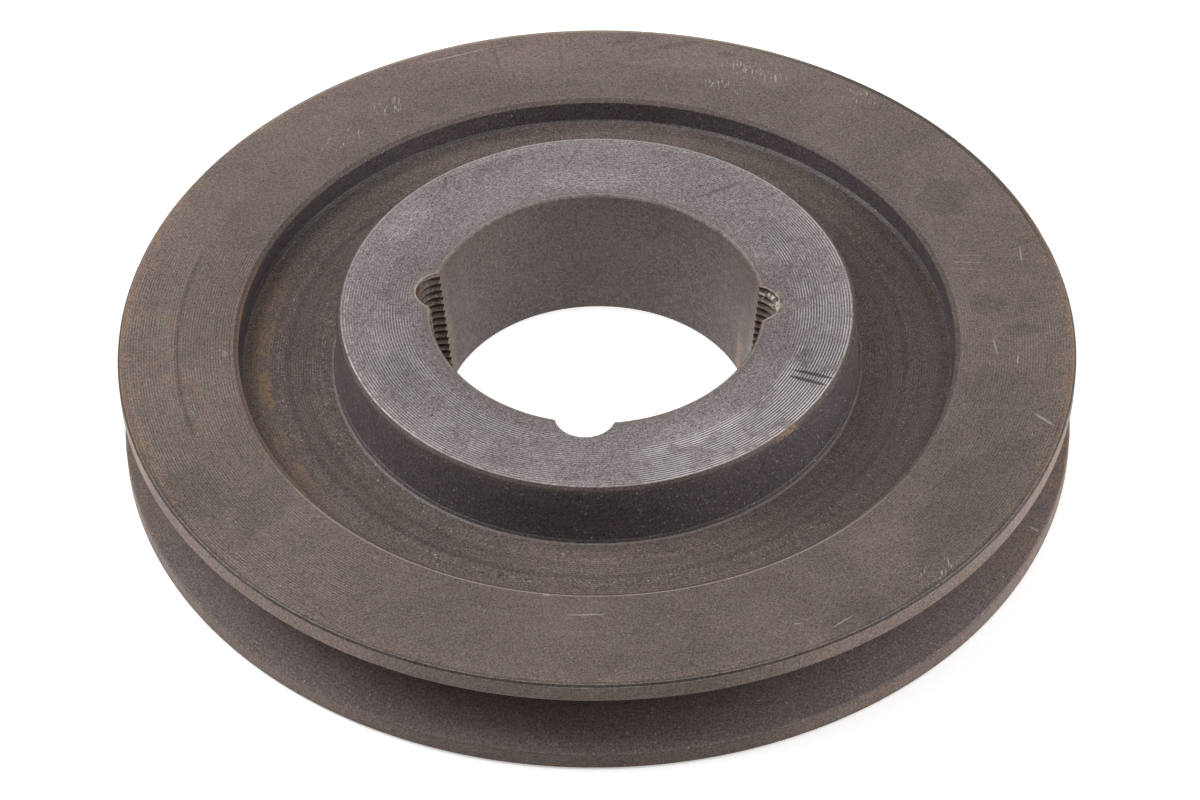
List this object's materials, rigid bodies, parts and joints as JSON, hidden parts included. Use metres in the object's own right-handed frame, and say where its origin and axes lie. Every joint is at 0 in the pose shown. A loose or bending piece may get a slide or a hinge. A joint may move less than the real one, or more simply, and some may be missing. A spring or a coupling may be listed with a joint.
{
  "type": "v belt pulley",
  "caption": "Grooved V-belt pulley turned from an iron casting, with a solid dished web and a hub bored for a taper bush.",
  "frame": {"origin": "on the bore axis, in the plane of the rim's rear face", "axes": "+Z along the bore axis, towards the hub face where the bush goes in; -Y towards the plain half-hole that the bush is pushed off with"},
  "size_m": [0.1656, 0.1656, 0.0261],
  "materials": {
    "cast_iron": "turned, phosphated and oiled"
  },
  "bodies": {
    "root": {"pulley": "cast_iron"}
  },
  "joints": []
}
